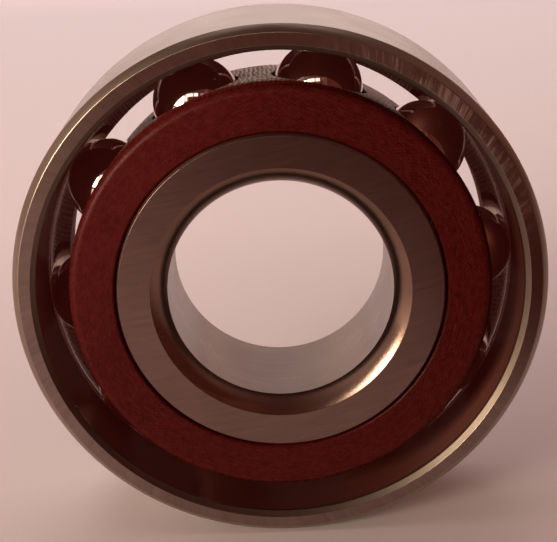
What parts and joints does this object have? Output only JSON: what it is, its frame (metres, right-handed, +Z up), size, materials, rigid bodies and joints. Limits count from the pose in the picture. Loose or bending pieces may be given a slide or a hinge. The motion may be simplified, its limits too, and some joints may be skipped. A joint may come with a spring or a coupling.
{
  "type": "angular contact ball bearing",
  "caption": "Open single-row angular contact ball bearing with a counterbored outer ring, a one-piece fabric-phenolic cage and polished steel balls, standing on its rim.",
  "frame": {"origin": "centre of the bearing, on its axis and halfway between its side faces", "axes": "+Y along the bearing axis from the counterbored side face (-Y) to the high-shoulder side face (+Y), +Z up with the bearing standing on its rim, +X to the right seen from the -Y side"},
  "size_m": [0.047, 0.014, 0.047],
  "materials": {
    "outer_ring_steel": "ground and lightly oiled bearing steel",
    "inner_ring_steel": "ground bearing steel with fine turning lines on its side faces",
    "cage_phenolic": "turned red-brown cotton-fabric phenolic laminate, slightly oiled",
    "ball_steel": "mirror polished"
  },
  "bodies": {
    "outer_ring": {"outer_ring": "outer_ring_steel"},
    "inner_ring": {"inner_ring": "inner_ring_steel"},
    "cage": {"cage": "cage_phenolic"},
    "ball_01": {"ball_01": "ball_steel"},
    "ball_02": {"ball_02": "ball_steel"},
    "ball_03": {"ball_03": "ball_steel"},
    "ball_04": {"ball_04": "ball_steel"},
    "ball_05": {"ball_05": "ball_steel"},
    "ball_06": {"ball_06": "ball_steel"},
    "ball_07": {"ball_07": "ball_steel"},
    "ball_08": {"ball_08": "ball_steel"},
    "ball_09": {"ball_09": "ball_steel"},
    "ball_10": {"ball_10": "ball_steel"}
  },
  "joints": [
    {"name": "inner_spin", "type": "hinge", "parent": "outer_ring", "child": "inner_ring", "pos_m": [0, 0, 0], "axis": [0, 1, 0], "continuous": true},
    {"name": "cage_spin", "type": "hinge", "parent": "outer_ring", "child": "cage", "pos_m": [0, 0, 0], "axis": [0, 1, 0], "continuous": true},
    {"name": "ball_01_spin", "type": "hinge", "parent": "cage", "child": "ball_01", "pos_m": [0.00394, 0, 0.01679], "axis": [-0.0591, 0.9659, -0.252], "continuous": true},
    {"name": "ball_02_spin", "type": "hinge", "parent": "cage", "child": "ball_02", "pos_m": [0.01306, 0, 0.01127], "axis": [-0.1959, 0.9659, -0.1691], "continuous": true},
    {"name": "ball_03_spin", "type": "hinge", "parent": "cage", "child": "ball_03", "pos_m": [0.01719, 0, 0.00144], "axis": [-0.2579, 0.9659, -0.0217], "continuous": true},
    {"name": "ball_04_spin", "type": "hinge", "parent": "cage", "child": "ball_04", "pos_m": [0.01476, 0, -0.00894], "axis": [-0.2214, 0.9659, 0.1341], "continuous": true},
    {"name": "ball_05_spin", "type": "hinge", "parent": "cage", "child": "ball_05", "pos_m": [0.00668, 0, -0.0159], "axis": [-0.1003, 0.9659, 0.2386], "continuous": true},
    {"name": "ball_06_spin", "type": "hinge", "parent": "cage", "child": "ball_06", "pos_m": [-0.00394, 0, -0.01679], "axis": [0.0591, 0.9659, 0.252], "continuous": true},
    {"name": "ball_07_spin", "type": "hinge", "parent": "cage", "child": "ball_07", "pos_m": [-0.01306, 0, -0.01127], "axis": [0.1959, 0.9659, 0.1691], "continuous": true},
    {"name": "ball_08_spin", "type": "hinge", "parent": "cage", "child": "ball_08", "pos_m": [-0.01719, 0, -0.00144], "axis": [0.2579, 0.9659, 0.0217], "continuous": true},
    {"name": "ball_09_spin", "type": "hinge", "parent": "cage", "child": "ball_09", "pos_m": [-0.01476, 0, 0.00894], "axis": [0.2214, 0.9659, -0.1341], "continuous": true},
    {"name": "ball_10_spin", "type": "hinge", "parent": "cage", "child": "ball_10", "pos_m": [-0.00668, 0, 0.0159], "axis": [0.1003, 0.9659, -0.2386], "continuous": true}
  ],
  "couplings": [
    {"joint": "cage_spin", "follows": "inner_spin", "ratio": 0.38888},
    {"joint": "ball_01_spin", "follows": "inner_spin", "ratio": -2.0657},
    {"joint": "ball_02_spin", "follows": "inner_spin", "ratio": -2.0657},
    {"joint": "ball_03_spin", "follows": "inner_spin", "ratio": -2.0657},
    {"joint": "ball_04_spin", "follows": "inner_spin", "ratio": -2.0657},
    {"joint": "ball_05_spin", "follows": "inner_spin", "ratio": -2.0657},
    {"joint": "ball_06_spin", "follows": "inner_spin", "ratio": -2.0657},
    {"joint": "ball_07_spin", "follows": "inner_spin", "ratio": -2.0657},
    {"joint": "ball_08_spin", "follows": "inner_spin", "ratio": -2.0657},
    {"joint": "ball_09_spin", "follows": "inner_spin", "ratio": -2.0657},
    {"joint": "ball_10_spin", "follows": "inner_spin", "ratio": -2.0657}
  ]
}
